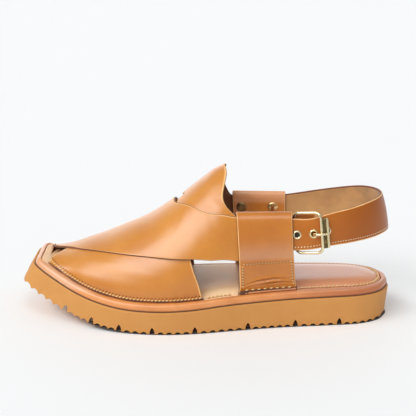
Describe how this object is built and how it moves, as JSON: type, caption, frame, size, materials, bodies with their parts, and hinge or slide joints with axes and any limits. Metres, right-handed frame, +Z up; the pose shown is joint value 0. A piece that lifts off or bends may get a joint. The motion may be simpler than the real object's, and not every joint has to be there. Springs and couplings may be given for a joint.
{
  "type": "kaptan chappal sandal",
  "caption": "Left crossed-panel leather sandal with folded side loops, buckled heel strap and a rippled rubber wedge sole turned up at a cut-off toe.",
  "frame": {"origin": "bottom centre of the shoe's own box, on the floor", "axes": "+X from toe to heel along the sole, +Y to the inner (big-toe) side, +Z up"},
  "size_m": [0.298, 0.1102, 0.1228],
  "materials": {
    "honey_rubber": "matte moulded rubber, honey colour",
    "rim_leather": "smooth leather, rolled edge",
    "footbed_leather": "soft padded leather, satin",
    "tan_leather": "waxed grain leather, satin gloss",
    "saddle_leather": "waxed grain leather, satin gloss",
    "brass": "polished pale brass plate"
  },
  "bodies": {
    "root": {"outsole": "honey_rubber", "midsole": "rim_leather", "insole": "footbed_leather", "upper": "tan_leather", "loop_lateral": "tan_leather", "loop_medial": "tan_leather", "heel_strap": "saddle_leather", "buckle_tab": "saddle_leather", "buckle_frame": "brass", "buckle_prong": "brass", "eyelet_front": "brass", "eyelet_middle": "brass", "eyelet_rear": "brass", "rivet_front": "brass", "rivet_rear": "brass"}
  },
  "joints": []
}
